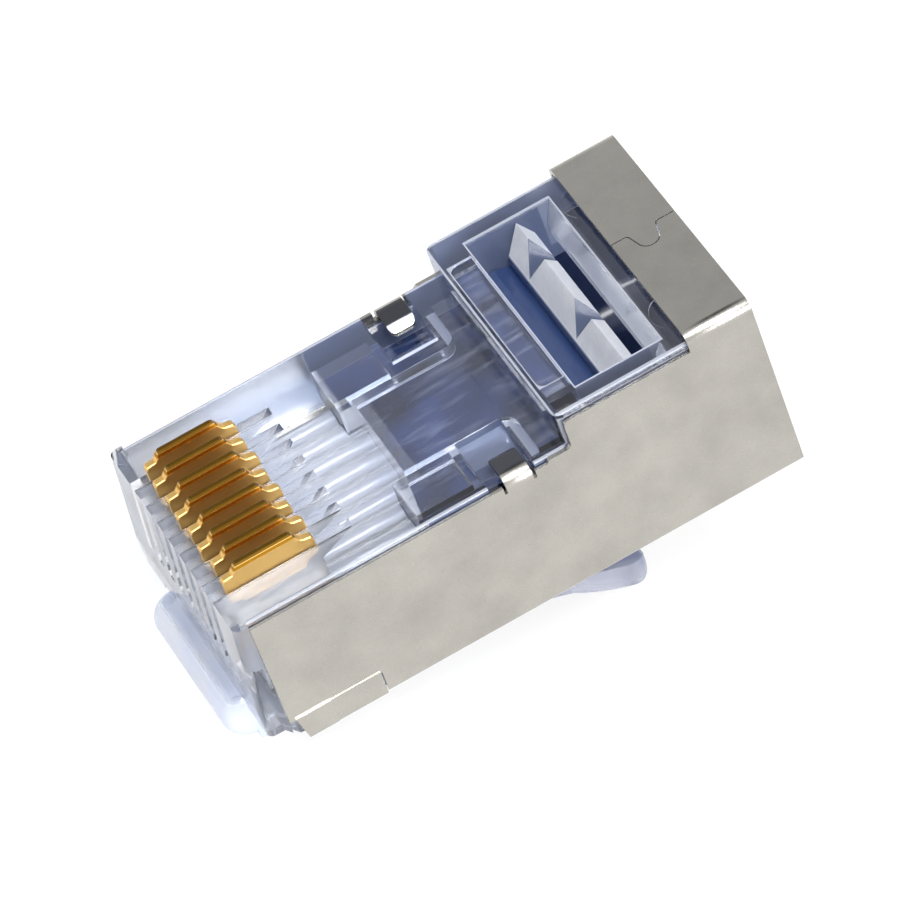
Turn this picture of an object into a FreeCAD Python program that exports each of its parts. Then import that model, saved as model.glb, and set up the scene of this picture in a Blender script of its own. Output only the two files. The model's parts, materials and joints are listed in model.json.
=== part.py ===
"""Shielded eight-way modular plug, not yet crimped, as loose on a bench: latch below, contacts above.

Everything is drawn level first. X runs from the nose face to the cable end, Y across the width,
Z from the latch side (0) to the contact side. place() then leans each piece nose down, to the
attitude in which the loose plug rests on the round root and the tail of its latch, and sets the
whole plug down with the middle of its footprint at the origin.
All lengths are in millimetres and all angles in degrees.
"""
import FreeCAD
import Part
import math
import os

Vector = FreeCAD.Vector

# ---- Housing: the clear moulding ---------------------------------------------------------------
plug_width = 11.60          # over the nose, and over the shield
body_length = 22.20         # nose face to the rear of the moulding
body_height = 6.28          # latch side to contact side, along the front
block_height = 7.83         # latch side to the top of the raised rear block
riser_position = 14.20      # nose face to the front of the raised block
block_corner_radius = 0.35  # upright corners of the raised block
nose_corner_radius = 0.30   # upright corners of the nose
nose_flat = 2.10            # height up to which the nose face is upright
nose_lean = 0.35            # how far the nose's top edge leans back
chin_height = 0.75          # nose underside above the latch side
chin_depth = 0.66           # how far back that underside runs
chin_slope_end = 1.20       # where it has come down to the latch side

# ---- Shield: one folded sheet ------------------------------------------------------------------
sheet = 0.20                # thickness of the metal
sheet_fit = 0.02            # gap between the sheet and the moulding
shield_front = 0.92         # nose face to the shield's front edge
shield_overhang = 0.24      # how far the shield runs past the moulding's rear
shield_drop = 0.18          # front edge of the metal below the body's top
shield_block_drop = 0.30    # edge of the metal below the block's top
shield_lift_length = 0.95   # length of the low step just before the riser
shield_lift = 0.14          # height of that step
band_front = 19.74          # nose face to the front edge of the band over the block
band_gap = 0.26             # band's underside above the block
bend_radius = 0.45          # outside radius of the band's bends
floor_bend_radius = 0.25    # outside radius of the folds along the latch side
strip_length = 3.80         # pressed strip at the foot of each side, from the shield's front
strip_height = 0.90         # its height above the latch side
strip_proud = 0.07          # how far its front panel stands out from the side
strip_rear_proud = 0.035    # the same for its rear panel
strip_crease = 1.72         # shield's front to the crease between the two panels
strip_slit = 0.06           # shear cut at the strip's rear end
strip_cutback = 0.24        # how far its front is cut back
latch_gap_width = 7.00      # opening in the shield's latch side
latch_gap_end = 9.10         # how far back that opening runs
seam_offset = 0.34          # the band's seam beside the middle
seam_gap = 0.04             # width of the seam
seam_tongue_centre = 21.02  # nose face to the middle of the seam's rounded tongue
seam_tongue_reach = 1.02    # how far the tongue reaches past the seam
seam_tongue_radius = 0.44
seam_tongue_flare = 14.0    # how far its flanks spread
seam_root_radius = 0.16     # rounding where the flanks meet the seam
ear_centre = 12.14          # nose face to the middle of the folded-in ears
ear_width = 1.10
ear_length = 1.46           # how far each ear reaches inwards
ear_slope = 3.0             # how steeply its flat part dips
ear_rise = 0.12             # crown of the ear above the body's top
ear_fold = 0.55             # outside radius of the fold between the side and the ear
ear_relief = 0.12           # width of the notch on both sides of the fold
ear_bend = 0.16             # outside radius of the bend before the tip
ear_tip_length = 0.34       # end of the ear that is bent down
ear_tip_slope = 38.0
ear_corner_radius = 0.26    # corners of the ear in plan

# ---- Contacts ----------------------------------------------------------------------------------
contact_count = 8
contact_pitch = 1.02
blade_thickness = 0.35
blade_front = 1.06          # nose face to the blades
blade_length = 3.72
blade_stand = 1.03          # plateau of the blade above the body's top
front_shoulder_stand = 0.64  # front shoulder above the body's top
rear_shoulder_stand = 0.47  # rear shoulder above the body's top
front_shoulder_length = 0.42
rear_shoulder_length = 0.36
front_flank_length = 0.30   # slope from the front shoulder up to the plateau
rear_flank_length = 0.46    # the same from the plateau down to the rear shoulder
blade_round = 0.07          # rounding along the shoulders' edges
coin_width = 0.09           # slanted facet along each side of the plateau: across
coin_height = 0.25          # the same, downwards
blade_stagger = 0.08        # every second blade sits this much nearer the nose
blade_depth = 2.98          # from the body's top down to the prong tips
prong_length = 0.70
slot_clearance = 0.05       # beside, before and behind each blade
crimp_travel = 1.10         # how far a blade is pressed down when crimped
slot_ramp_length = 1.38     # open slot behind the blades, rising to the surface
slot_mouth_floor = 3.10     # height of the slots' floor at the nose face

# ---- Hollows of the moulding -------------------------------------------------------------------
wire_bore = 0.92            # round channel for each conductor
wire_height = 2.40          # its centre above the latch side
wire_bore_front = 0.95      # blind front end of the channels
loom_front = 8.95           # nose face to the hollow that the conductors fan out in
loom_side_front = 8.35      # the same, beside the middle
loom_middle_width = 4.60
loom_width = 9.30
loom_floor = 1.45
loom_roof = 5.55
rib_thickness = 0.28        # L-shaped ribs under the roof
rib_depth = 0.55
rib_rear = 13.45            # nose face to the cross leg of the ribs
rib_bend = 0.60             # radius of the ribs' corner
jacket_front = 15.53        # nose face to the hollow for the cable's jacket
jacket_width = 9.44
jacket_floor = 0.75
jacket_roof = 6.20
jacket_corner = 0.90        # rounded edges along the hollow
mouth_chamfer = 0.45        # lead-in at the cable end
window_length = 3.59        # opening in the block's top, over the strain-relief bar
window_rear_slope = 0.37    # how far the window's rear wall leans
window_rear_slope_depth = 1.17
vault_wall = 0.35           # front wall of the block before the vault behind it
vault_width = 7.90
vault_floor = 6.00          # top of the shelf that the strain-relief bar hangs on
vault_roof = 6.75
dish_depth = 0.12           # shallow dish in the bridge before the window
dish_border = 0.24
ear_pocket_length = 1.92    # pocket in the moulding under each ear
ear_pocket_shift = -0.20    # its middle from the ear's middle
ear_pocket_reach = 2.90     # how far it runs inwards from the shield
ear_pocket_depth = 0.35
ear_pocket_well = 0.45      # extra depth under the ear's tip
ear_pocket_floor = 0.50     # wall left under that
ejector_mark_radius = 1.02  # round marks left by the mould
ejector_mark_depth = 0.05
ejector_mark_x = 20.28
ejector_mark_y = 3.68

# ---- Strain-relief bar -------------------------------------------------------------------------
bar_side_gap = 0.06         # between the bar's ends and the window's walls
bar_hinge_gap = 0.07        # between the bar's hinge edge and the bridge
bar_hinge_radius = 0.21
bar_front = 1.30            # jacket hollow's front to the bar's front flank
bar_foot_height = 5.15
bar_front_top = 6.05        # height where the front flank starts to lean
bar_ridge = 2.09            # jacket hollow's front to the ridge
bar_ridge_drop = 0.28       # ridge below the block's top
bar_rear = 2.64             # jacket hollow's front to the rear shoulder
bar_rear_top = 6.66
bar_tip_height = 4.90       # lowest edge, which grips the jacket
bar_notches = (2.90, -1.08)  # middles of the two notches across the ridge
bar_notch_width = 1.35
bar_notch_depth = 1.15

# ---- Latch -------------------------------------------------------------------------------------
root_radius = 1.05          # round root of the latch, under the nose
root_x = 0.05               # its centre, which is where the latch bends
root_z = -0.10
root_gap = 0.05             # between the root and its seat in the nose
root_width = 7.40
root_edge_radius = 0.70
stop_width = 6.10           # latch between its root and its stops
stop_position = 8.40        # nose face to the stops
stop_height = 0.45          # how far the stops stand above the arm
stop_length = 1.10
handle_width = 3.24
arm_slope = 11.3            # of the arm's underside, up to the stops
arm_thickness = 0.90
handle_slope = 20.4         # of the handle's underside, behind the stops
handle_thickness = 0.74
tail_start = 13.30          # nose face to where the rounded tail turns down
tail_start_slope = 36.0     # steepness of its underside there
tail_end_slope = 18.0       # the same just before the tip
tail_end = 16.05            # nose face to the middle of the rounded tip
tail_round = 0.50           # radius of the tip
tail_corner_radius = 0.95   # corners of the tail in plan

# ---- Worked out from the sizes above ------------------------------------------------------------
half_width = plug_width / 2
core_half = half_width - sheet - sheet_fit
shield_rear = body_length + shield_overhang
ring_top = block_height + band_gap + sheet
ring_bottom = -sheet - sheet_fit
blade_rear = blade_front + blade_length
plateau_height = body_height + blade_stand
front_shoulder = body_height + front_shoulder_stand
rear_shoulder = body_height + rear_shoulder_stand
prong_tip = body_height - blade_depth
chamber_floor = min(prong_tip - crimp_travel - slot_clearance, wire_height - wire_bore / 2)
slot_width = blade_thickness + 2 * slot_clearance
slot_rear = blade_rear + slot_clearance + slot_ramp_length
window_rear = jacket_front + window_length
pocket_front = ear_centre + ear_pocket_shift - ear_pocket_length / 2
bar_hinge_x = jacket_front + bar_hinge_gap + bar_hinge_radius
bar_hinge_height = (loom_roof + vault_floor) / 2
bar_ridge_height = block_height - bar_ridge_drop
ear_crown = body_height + ear_rise
ear_fold_foot = ear_crown - ear_fold - ear_relief / 2
beyond = 1.0                # how far a cutting solid runs past the face that it opens


def box(x0, x1, y0, y1, z0, z1):
    """Square-edged block between two corners."""
    return Part.makeBox(x1 - x0, y1 - y0, z1 - z0, Vector(x0, y0, z0))


def side_prism(outline, y0, y1):
    """Prism across the width whose outline is given as (x, z) points."""
    points = [Vector(x, y0, z) for x, z in outline]
    wire = Part.makePolygon(points + points[:1])
    return Part.Face(wire).extrude(Vector(0, y1 - y0, 0))


def plan_prism(outline, z0, z1):
    """Upright prism whose outline is given as (x, y) points."""
    points = [Vector(x, y, z0) for x, y in outline]
    wire = Part.makePolygon(points + points[:1])
    return Part.Face(wire).extrude(Vector(0, 0, z1 - z0))


def end_prism(outline, x0, x1):
    """Prism along the plug whose outline is given as (y, z) points."""
    points = [Vector(x0, y, z) for y, z in outline]
    wire = Part.makePolygon(points + points[:1])
    return Part.Face(wire).extrude(Vector(x1 - x0, 0, 0))


def cross_cylinder(x, z, radius, half_length):
    """Cylinder across the width about the line through (x, z)."""
    return Part.makeCylinder(radius, 2 * half_length, Vector(x, -half_length, z), Vector(0, 1, 0))


def edges_where(shape, test):
    """Straight edges of a shape whose two end points both pass a test."""
    found = []
    for edge in shape.Edges:
        if len(edge.Vertexes) == 2 and all(test(v.Point) for v in edge.Vertexes):
            found.append(edge)
    return found


def upright_edges(shape, test):
    """Upright edges of a shape that pass a test on their end points."""
    found = []
    for edge in edges_where(shape, test):
        a, b = [v.Point for v in edge.Vertexes]
        if abs(a.x - b.x) < 1e-6 and abs(a.y - b.y) < 1e-6:
            found.append(edge)
    return found


def near(a, b):
    return abs(a - b) < 1e-5


def mirrored(shape):
    """The shape reflected to the other side of the plug's middle plane."""
    return shape.mirror(Vector(0, 0, 0), Vector(0, 1, 0))


def both_sides(shape):
    return [shape, mirrored(shape)]


def fuse_all(shapes):
    whole = shapes[0]
    if len(shapes) > 1:
        whole = whole.fuse(shapes[1:])
    return whole.removeSplitter()


def contact_places():
    """(x shift, y) of each contact, first at the far side; every second one sits nearer the nose."""
    first = contact_pitch * (contact_count - 1) / 2
    for index in range(contact_count):
        shift = -blade_stagger if index % 2 else 0.0
        yield shift, first - index * contact_pitch


# ---- The moulded housing ------------------------------------------------------------------------
def housing_outside():
    """Long low body with its raised block, rebated at the sides behind the nose for the shield."""
    outline = [
        (0, chin_height),
        (0, nose_flat),
        (nose_lean, body_height),
        (riser_position, body_height),
        (riser_position, block_height),
        (body_length, block_height),
        (body_length, 0),
        (chin_slope_end, 0),
        (chin_depth, chin_height),
    ]
    whole = side_prism(outline, -half_width, half_width)
    nose_edges = edges_where(whole, lambda p: p.x < nose_lean + 1e-6 and p.z > chin_height - 1e-6)
    nose_edges = [e for e in nose_edges if near(e.Vertexes[0].Point.y, e.Vertexes[1].Point.y)]
    whole = whole.makeFillet(nose_corner_radius, nose_edges)
    rebate = box(
        shield_front - sheet_fit, body_length + beyond,
        core_half, half_width + beyond, -beyond, block_height + beyond,
    )
    whole = whole.cut(both_sides(rebate))
    block_edges = upright_edges(
        whole,
        lambda p: near(p.x, riser_position) and near(abs(p.y), core_half) and p.z > body_height - 1e-6,
    )
    return whole.makeFillet(block_corner_radius, block_edges)


def slot_cutter(shift, y):
    """Slot, blade chamber and conductor channel of one contact."""
    half = slot_width / 2
    top = body_height + beyond
    front = blade_front + shift - slot_clearance
    rear = blade_rear + shift + slot_clearance
    mouth = side_prism(
        [(-beyond, slot_mouth_floor), (front, slot_mouth_floor), (front, top), (-beyond, top)],
        y - half, y + half,
    )
    chamber = side_prism(
        [
            (front, chamber_floor),
            (rear, chamber_floor),
            (rear, body_height - blade_depth / 2),
            (slot_rear, body_height),
            (slot_rear, top),
            (front, top),
        ],
        y - half, y + half,
    )
    channel = Part.makeCylinder(
        wire_bore / 2, loom_side_front + beyond - wire_bore_front,
        Vector(wire_bore_front, y, wire_height), Vector(1, 0, 0),
    )
    return [mouth, chamber, channel]


def loom_cutter():
    """Hollow between the channels and the jacket, with L-shaped ribs left under its roof."""
    half = loom_width / 2
    middle = loom_middle_width / 2
    outline = [
        (loom_side_front, -half), (loom_side_front, -middle), (loom_front, -middle),
        (loom_front, middle), (loom_side_front, middle), (loom_side_front, half),
        (jacket_front + beyond, half), (jacket_front + beyond, -half),
    ]
    hollow = plan_prism(outline, loom_floor, loom_roof)
    outer = box(loom_side_front, rib_rear, middle, half + beyond, loom_roof - rib_depth, loom_roof)
    inner = box(
        loom_side_front - beyond, rib_rear - rib_thickness, middle + rib_thickness, half + beyond,
        loom_roof - rib_depth, loom_roof,
    )
    bend = upright_edges(outer, lambda p: near(p.x, rib_rear) and near(p.y, middle))
    inner_bend = upright_edges(
        inner, lambda p: near(p.x, rib_rear - rib_thickness) and near(p.y, middle + rib_thickness)
    )
    rib = outer.makeFillet(rib_bend, bend).cut(inner.makeFillet(rib_bend - rib_thickness, inner_bend))
    pad = box(
        pocket_front - rib_thickness, pocket_front + ear_pocket_length + rib_thickness,
        core_half - ear_pocket_reach - rib_thickness, half + beyond,
        body_height - ear_pocket_depth - ear_pocket_well - ear_pocket_floor, loom_roof + beyond,
    )
    return hollow.cut(both_sides(rib) + both_sides(pad))


def jacket_cutter():
    """Hollow that the cable's jacket goes into, its lead-in, the window and the vault before it."""
    half = jacket_width / 2
    hollow = box(jacket_front, body_length + beyond, -half, half, jacket_floor, jacket_roof)
    along = edges_where(hollow, lambda p: True)
    along = [e for e in along if abs(e.Vertexes[0].Point.x - e.Vertexes[1].Point.x) > beyond]
    lower = [e for e in along if near(e.Vertexes[0].Point.z, jacket_floor)]
    hollow = hollow.makeFillet(jacket_corner, lower)
    big = half + mouth_chamfer
    small_end = Part.makePolygon(
        [
            Vector(body_length - mouth_chamfer, sy * half, z)
            for sy, z in ((-1, jacket_floor), (1, jacket_floor), (1, jacket_roof), (-1, jacket_roof), (-1, jacket_floor))
        ]
    )
    large_end = Part.makePolygon(
        [
            Vector(body_length + sheet_fit, sy * big, z)
            for sy, z in (
                (-1, jacket_floor - mouth_chamfer), (1, jacket_floor - mouth_chamfer),
                (1, jacket_roof + mouth_chamfer), (-1, jacket_roof + mouth_chamfer),
                (-1, jacket_floor - mouth_chamfer),
            )
        ]
    )
    mouth = Part.makeLoft([small_end, large_end], True, True)
    slope_foot = block_height - window_rear_slope_depth
    top = block_height + beyond
    window = side_prism(
        [
            (jacket_front, jacket_roof - beyond),
            (window_rear - window_rear_slope, jacket_roof - beyond),
            (window_rear - window_rear_slope, slope_foot),
            (window_rear, block_height),
            (window_rear, top),
            (jacket_front, top),
        ],
        -half, half,
    )
    vault = box(
        riser_position + vault_wall, jacket_front + beyond,
        -vault_width / 2, vault_width / 2, vault_floor, vault_roof,
    )
    under_shelf = box(
        jacket_front - beyond, jacket_front + beyond, -half, half, loom_floor, loom_roof,
    )
    return [hollow, mouth, window, vault, under_shelf]


def surface_cutters():
    """Dish in the bridge, pockets under the shield's ears and the round marks of the mould."""
    dish = box(
        riser_position + dish_border, jacket_front - dish_border / 2,
        -vault_width / 2, vault_width / 2, block_height - dish_depth, block_height + beyond,
    )
    corners = upright_edges(dish, lambda p: near(p.x, riser_position + dish_border))
    dish = dish.makeFillet(block_corner_radius, corners)
    floor = body_height - ear_pocket_depth
    well = floor - ear_pocket_well
    inner = core_half - ear_pocket_reach
    tip = core_half - ear_length
    pocket = end_prism(
        [
            (half_width + beyond, floor - sheet), (tip, well), (inner + beyond, well),
            (inner, floor), (inner, body_height + beyond), (half_width + beyond, body_height + beyond),
        ],
        pocket_front, pocket_front + ear_pocket_length,
    )
    mark = Part.makeCylinder(
        ejector_mark_radius, beyond,
        Vector(ejector_mark_x, ejector_mark_y, block_height - ejector_mark_depth),
    )
    return [dish] + both_sides(pocket) + both_sides(mark)


def housing():
    seat = cross_cylinder(root_x, root_z, root_radius + root_gap, root_width / 2 + root_gap)
    cutters = [loom_cutter(), seat] + jacket_cutter() + surface_cutters()
    for shift, y in contact_places():
        cutters += slot_cutter(shift, y)
    return housing_outside().cut(cutters)


# ---- The gold-plated contacts -------------------------------------------------------------------
def contact(shift, y):
    """Flat stamped blade: coined plateau between two low shoulders, two piercing prongs below."""
    front = blade_front + shift
    rear = blade_rear + shift
    middle = (front + rear) / 2
    body_foot = prong_tip + prong_length
    nick = 2 * blade_round
    foot_of_flank = rear - rear_shoulder_length
    fall = plateau_height - rear_shoulder
    outline = [
        (front, body_foot),
        (front, front_shoulder - nick),
        (front + nick / 2, front_shoulder - nick / 4),
        (front + front_shoulder_length, front_shoulder),
        (front + front_shoulder_length + front_flank_length, plateau_height),
        (foot_of_flank - rear_flank_length, plateau_height),
        (foot_of_flank - 0.78 * rear_flank_length, plateau_height - 0.14 * fall),
        (foot_of_flank - 0.22 * rear_flank_length, rear_shoulder + 0.18 * fall),
        (foot_of_flank, rear_shoulder + 0.06 * fall),
        (rear - nick / 2, rear_shoulder - nick / 6),
        (rear, rear_shoulder - nick),
        (rear, body_foot),
        (rear - prong_length / 2, prong_tip),
        (middle, body_foot + prong_length / 4),
        (front + prong_length / 2, prong_tip),
    ]
    half = blade_thickness / 2
    blade = side_prism(outline, y - half, y + half)
    rims = [
        edge
        for edge in edges_where(blade, lambda p: p.z > rear_shoulder - nick - 1e-6)
        if near(edge.Vertexes[0].Point.y, edge.Vertexes[1].Point.y)
        and near(abs(edge.Vertexes[0].Point.y - y), half)
    ]
    blade = blade.makeFillet(min(blade_round, 0.45 * half), rims)
    ridge = half - coin_width
    coined = end_prism(
        [
            (y - half, prong_tip), (y + half, prong_tip),
            (y + half, plateau_height - coin_height), (y + ridge, plateau_height),
            (y - ridge, plateau_height), (y - half, plateau_height - coin_height),
        ],
        front, rear,
    )
    return blade.common(coined)


# ---- The folded shield --------------------------------------------------------------------------
def ring(margin, radius_top, radius_floor):
    """Solid bar along the plug, as large as the shield's outside less a margin all round."""
    bar = box(
        shield_front, shield_rear,
        -half_width + margin, half_width - margin, ring_bottom + margin, ring_top - margin,
    )
    lengthwise = [
        edge for edge in bar.Edges
        if abs(edge.Vertexes[0].Point.x - edge.Vertexes[1].Point.x) > beyond
    ]
    above = [edge for edge in lengthwise if edge.Vertexes[0].Point.z > body_height]
    below = [edge for edge in lengthwise if edge.Vertexes[0].Point.z < body_height]
    return bar.makeFillet(radius_top, above).makeFillet(radius_floor, below)


def side_view_keep():
    """Side outline of the whole shield: low front, low step, riser and band."""
    low = body_height - shield_drop
    step = low + shield_lift
    high = block_height - shield_block_drop
    riser = riser_position + sheet
    outline = [
        (shield_front, ring_bottom - beyond),
        (shield_front, low),
        (riser - shield_lift_length - shield_lift, low),
        (riser - shield_lift_length, step),
        (riser, step),
        (riser, high),
        (band_front, high),
        (band_front, ring_top + beyond),
        (shield_rear, ring_top + beyond),
        (shield_rear, ring_bottom - beyond),
    ]
    keep = side_prism(outline, -plug_width, plug_width)
    inner_corner = edges_where(keep, lambda p: near(p.x, riser) and near(p.z, step))
    outer_corner = edges_where(keep, lambda p: near(p.x, riser) and near(p.z, high))
    return keep.makeFillet(sheet, inner_corner + outer_corner)


def tongue_side(margin, low, high):
    """The band on the tongue's own side of the seam, larger by a margin, between two heights."""
    radius = seam_tongue_radius + margin
    centre_y = seam_offset - seam_tongue_reach + seam_tongue_radius
    flare = math.radians(seam_tongue_flare)
    line = seam_offset - margin
    foot_x = radius * math.cos(flare)
    foot_y = centre_y - radius * math.sin(flare)
    head_x = foot_x + (line - foot_y) * math.tan(flare)
    flanks = plan_prism(
        [
            (seam_tongue_centre - foot_x, foot_y), (seam_tongue_centre + foot_x, foot_y),
            (seam_tongue_centre + head_x, line), (seam_tongue_centre - head_x, line),
        ],
        low, high,
    )
    tip = Part.makeCylinder(radius, high - low, Vector(seam_tongue_centre, centre_y, low))
    side = box(band_front - beyond, shield_rear + beyond, line, plug_width, low, high)
    whole = fuse_all([side, flanks, tip])
    roots = upright_edges(whole, lambda p: near(p.y, line) and near(abs(p.x - seam_tongue_centre), head_x))
    return whole.makeFillet(seam_root_radius, roots)


def seam_cutter():
    """Narrow slit along the band: straight at both ends, rounded tongue between."""
    low, high = ring_top - bend_radius, ring_top + beyond
    return tongue_side(seam_gap / 2, low, high).cut(tongue_side(-seam_gap / 2, low - beyond, high + beyond))


def ear():
    """Tongue of the shield's side: one round fold, flat part over its pocket, bent-down rounded tip."""
    foot = ear_fold_foot - sheet / 2
    dip = math.tan(math.radians(ear_slope))
    fall = math.tan(math.radians(ear_tip_slope))
    reach = core_half - ear_length
    bend = reach + ear_tip_length
    fold_top = ear_crown + dip * ear_fold
    bend_height = fold_top - dip * (half_width - bend)
    tip_height = bend_height - fall * ear_tip_length
    outline = [
        (half_width, foot),
        (half_width, fold_top),
        (bend, bend_height),
        (reach, tip_height),
        (reach, tip_height - sheet),
        (bend, bend_height - sheet),
        (half_width - sheet, fold_top - sheet),
        (half_width - sheet, foot),
    ]
    tongue = end_prism(outline, ear_centre - ear_width / 2, ear_centre + ear_width / 2)
    bends = [
        (half_width, fold_top, ear_fold),
        (half_width - sheet, fold_top - sheet, ear_fold - sheet),
        (bend, bend_height, ear_bend),
    ]
    for y, z, radius in bends:
        edges = edges_where(tongue, lambda p: near(p.y, y) and near(p.z, z))
        tongue = tongue.makeFillet(radius, edges)
    plan = box(
        ear_centre - ear_width / 2, ear_centre + ear_width / 2, reach, half_width + beyond,
        -plug_width, plug_width,
    )
    plan = plan.makeFillet(ear_corner_radius, upright_edges(plan, lambda p: near(p.y, reach)))
    return tongue.common(plan)


def strip():
    """Pressed strip along the foot of one side: a proud front panel with a slanted end, a crease, a rear one."""
    top = strip_height + sheet / 2
    bottom = ring_bottom + strip_proud
    front = shield_front + strip_cutback
    crease = shield_front + strip_crease
    rear = shield_front + strip_length
    front_panel = side_prism(
        [(front, top), (crease, top), (crease, bottom), (front + strip_cutback, bottom)],
        half_width - sheet + strip_proud, half_width + strip_proud,
    )
    rear_panel = box(
        crease, rear, half_width - sheet + strip_rear_proud, half_width + strip_rear_proud, bottom, top,
    )
    return [front_panel, rear_panel]


def shield():
    inner_radius = max(bend_radius - sheet, 0.05)
    inner_floor_radius = max(floor_bend_radius - sheet, 0.05)
    shell = ring(0, bend_radius, floor_bend_radius).cut(ring(sheet, inner_radius, inner_floor_radius))
    shell = shell.common(side_view_keep())
    strip_rear = shield_front + strip_length
    latch_gap = box(
        shield_front - beyond, latch_gap_end,
        -latch_gap_width / 2, latch_gap_width / 2, ring_bottom - beyond, 0,
    )
    gap_corners = upright_edges(latch_gap, lambda p: near(p.x, latch_gap_end))
    latch_gap = latch_gap.makeFillet(stop_length / 2, gap_corners)
    front_foot = box(
        shield_front - beyond, strip_rear + strip_slit,
        -plug_width, plug_width, ring_bottom - beyond, strip_height,
    )
    relief_reach = ear_width / 2 + ear_relief
    reliefs = box(
        ear_centre - relief_reach, ear_centre + relief_reach,
        -plug_width, plug_width, ear_fold_foot, body_height + beyond,
    )
    shell = shell.cut([latch_gap, front_foot, reliefs, seam_cutter()])
    pieces = [shell] + both_sides(ear())
    for panel in strip():
        pieces += both_sides(panel)
    return fuse_all(pieces)


# ---- The strain-relief bar ----------------------------------------------------------------------
def strain_relief_bar():
    """Roof-shaped wedge across the window, notched along its ridge, on a thin hinge web."""
    half = jacket_width / 2 - bar_side_gap
    x = jacket_front
    web = bar_hinge_radius
    outline = [
        (bar_hinge_x, bar_hinge_height - web),
        (x + bar_front / 2, bar_hinge_height - web),
        (x + bar_front, bar_foot_height),
        ((x + x + bar_front + bar_rear) / 2, bar_tip_height),
        (x + bar_rear, bar_foot_height + web),
        (x + bar_rear, bar_rear_top),
        (x + bar_ridge, bar_ridge_height),
        (x + bar_front, bar_front_top),
        (x + bar_front, bar_hinge_height),
        (x + bar_front / 2, bar_hinge_height + web),
        (bar_hinge_x, bar_hinge_height + web),
    ]
    wedge = side_prism(outline, -half, half)
    hinge = cross_cylinder(bar_hinge_x, bar_hinge_height, bar_hinge_radius, half)
    bar = fuse_all([wedge, hinge])
    notches = [
        end_prism(
            [
                (middle - bar_notch_width / 2, bar_ridge_height + 1e-3),
                (middle, bar_ridge_height - bar_notch_depth),
                (middle + bar_notch_width / 2, bar_ridge_height + 1e-3),
            ],
            x, x + bar_rear + beyond,
        )
        for middle in bar_notches
    ]
    return bar.cut(notches)


# ---- The latch ----------------------------------------------------------------------------------
def latch_profile():
    """Places along the latch's underside, and the middle of the tail's rounded tip, as (x, z)."""
    arm = math.radians(arm_slope)
    root = (root_x - root_radius * math.sin(arm), root_z - root_radius * math.cos(arm))
    stops = (stop_position, root[1] - (stop_position - root[0]) * math.tan(arm))
    turn = (tail_start, stops[1] - (tail_start - stop_position) * math.tan(math.radians(handle_slope)))
    steep, flat = math.radians(tail_start_slope), math.radians(tail_end_slope)
    end_x = tail_end - tail_round * math.sin(flat)
    chord = (steep + flat) / 2
    last = (end_x, turn[1] - (end_x - turn[0]) * math.tan(chord))
    tip = (tail_end, last[1] + tail_round * math.cos(flat))
    return root, stops, turn, last, tip


def arc_point(centre, radius, angle):
    """Point at an angle, in degrees from +X, on a circle in side view."""
    turn = math.radians(angle)
    return Vector(centre[0] + radius * math.cos(turn), 0, centre[1] + radius * math.sin(turn))


def latch_side():
    """Side face of the latch: straight arm, handle, and a pad that sweeps down into a round tip."""
    root, stops, turn, last, tip = latch_profile()
    arm, handle = math.radians(arm_slope), math.radians(handle_slope)
    chord = math.radians((tail_start_slope + tail_end_slope) / 2)
    sweep = math.radians((tail_start_slope - tail_end_slope) / 4)
    sag = math.hypot(last[0] - turn[0], last[1] - turn[1]) / 2 * math.tan(sweep)
    middle = ((turn[0] + last[0]) / 2, (turn[1] + last[1]) / 2)
    belly = Vector(middle[0] - sag * math.sin(chord), 0, middle[1] - sag * math.cos(chord))
    back_angle = 90 - handle_slope
    first_angle = -90 - tail_end_slope
    under = [Vector(x, 0, z) for x, z in (root, stops, turn, last)]
    back = arc_point(tip, tail_round, back_angle)
    around = arc_point(tip, tail_round, (first_angle + back_angle) / 2)
    over = [
        back,
        Vector(turn[0] + handle_thickness * math.sin(handle), 0, turn[1] + handle_thickness * math.cos(handle)),
        Vector(stops[0] + arm_thickness * math.sin(arm), 0, stops[1] + arm_thickness * math.cos(arm)),
        Vector(root_x, 0, root[1] - (root_x - root[0]) * math.tan(arm) + arm_thickness / math.cos(arm)),
        under[0],
    ]
    edges = [Part.LineSegment(under[0], under[1]).toShape(), Part.LineSegment(under[1], under[2]).toShape()]
    edges.append(Part.Arc(under[2], belly, under[3]).toShape())
    edges.append(Part.Arc(under[3], around, back).toShape())
    for one, two in zip(over, over[1:]):
        edges.append(Part.LineSegment(one, two).toShape())
    return Part.Face(Part.Wire(edges))


def latch():
    """Round root, tapering arm with two stops, narrow handle with a rounded tail."""
    root, stops, turn, last, tip = latch_profile()
    wide = root_width / 2
    stop = stop_width / 2
    handle = handle_width / 2
    far = tip[0] + tail_round
    arm = latch_side().extrude(Vector(0, root_width, 0))
    arm.translate(Vector(0, -wide, 0))
    plan = plan_prism(
        [
            (root_x, -wide), (root_x, wide), (root_x + root_radius, wide), (stop_position / 2, stop),
            (stop_position, stop), (stop_position, handle), (far, handle),
            (far, -handle), (stop_position, -handle), (stop_position, -stop),
            (stop_position / 2, -stop), (root_x + root_radius, -wide),
        ],
        -plug_width, plug_width,
    )
    plan = plan.makeFillet(tail_corner_radius, upright_edges(plan, lambda p: near(p.x, far)))
    arm = arm.common(plan)
    root_bar = cross_cylinder(root_x, root_z, root_radius, wide)
    root_bar = root_bar.makeFillet(root_edge_radius, [e for e in root_bar.Edges if e.Closed])
    slope = math.tan(math.radians(arm_slope))
    deck = stops[1] + arm_thickness / math.cos(math.radians(arm_slope))
    stop_block = side_prism(
        [
            (stop_position - stop_length, deck + stop_length * slope - arm_thickness / 2),
            (stop_position, deck - arm_thickness / 2),
            (stop_position, deck + stop_height),
            (stop_position - stop_length, deck + stop_length * slope),
        ],
        handle, stop,
    )
    return fuse_all([arm, root_bar] + both_sides(stop_block))


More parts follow.
